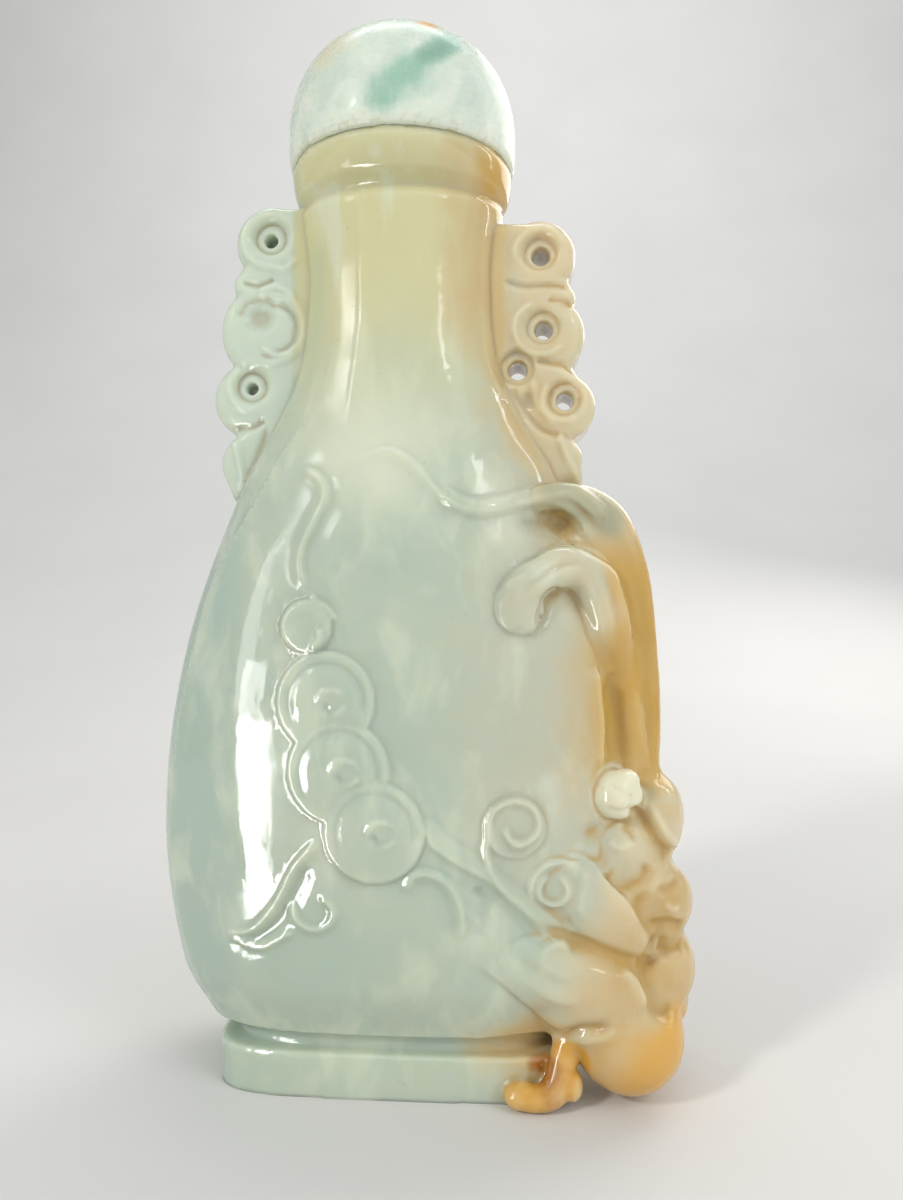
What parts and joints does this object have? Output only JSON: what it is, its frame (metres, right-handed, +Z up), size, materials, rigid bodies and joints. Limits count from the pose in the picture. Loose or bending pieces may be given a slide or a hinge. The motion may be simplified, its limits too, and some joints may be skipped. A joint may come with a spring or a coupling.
{
  "type": "snuff bottle",
  "caption": "Carved jade snuff bottle, flattened and hollow, with fretted scroll handles, a fruit branch in relief and a domed stopper on a cork plug.",
  "frame": {"origin": "centre of the foot's underside, on the bottle's axis", "axes": "+Z up through the mouth, -Y out of the broad carved front, +X towards the flank with the fruit"},
  "size_m": [0.0369, 0.0198, 0.0738],
  "materials": {
    "jade": "polished, translucent pale green with a honey skin on one flank",
    "stopper_jade": "polished, pale bluish white with one green patch",
    "cork": "matte"
  },
  "bodies": {
    "root": {"bottle": "jade", "stopper": "stopper_jade", "cork": "cork"}
  },
  "joints": []
}
